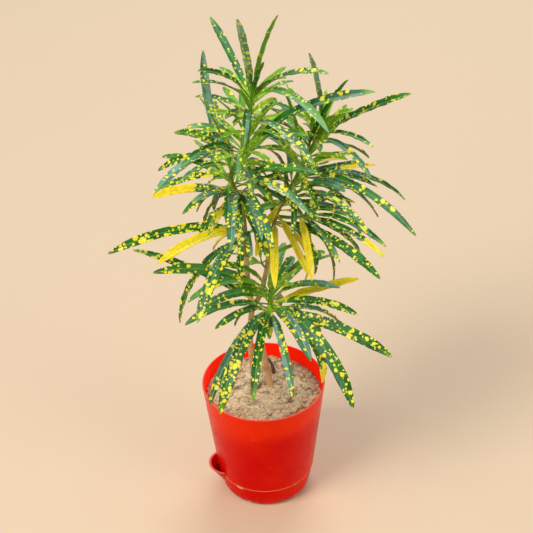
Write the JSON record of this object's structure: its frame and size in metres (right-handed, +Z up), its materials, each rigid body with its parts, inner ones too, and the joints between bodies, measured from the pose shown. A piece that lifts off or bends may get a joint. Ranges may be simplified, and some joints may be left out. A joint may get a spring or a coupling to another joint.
{
  "type": "potted croton",
  "caption": "Narrow-leaved spotted croton on forked woody stems, growing in soil in a tapered plastic pot that stands in a water tray with a filling cup at its side.",
  "frame": {"origin": "centre of the water tray's flat underside, where the pot stands on the floor", "axes": "+Z up, -Y towards the viewer of the picture, +X to its right; the filling cup is on the -X side"},
  "size_m": [0.2953, 0.2188, 0.5826],
  "materials": {
    "red_plastic": "gloss",
    "soil": "dry and crumbly",
    "bark": "matt bark",
    "dead_bark": "matt bark",
    "leaf": "satin, with yellow spots",
    "young_leaf": "satin"
  },
  "bodies": {
    "root": {"pot_body": "red_plastic", "base_tray": "red_plastic", "soil": "soil", "main_stem": "bark", "second_stem": "bark", "dead_stub": "dead_bark", "left_leafy_stem": "leaf", "right_leafy_stem": "leaf", "low_leafy_stem": "leaf", "young_shoot": "young_leaf"}
  },
  "joints": []
}
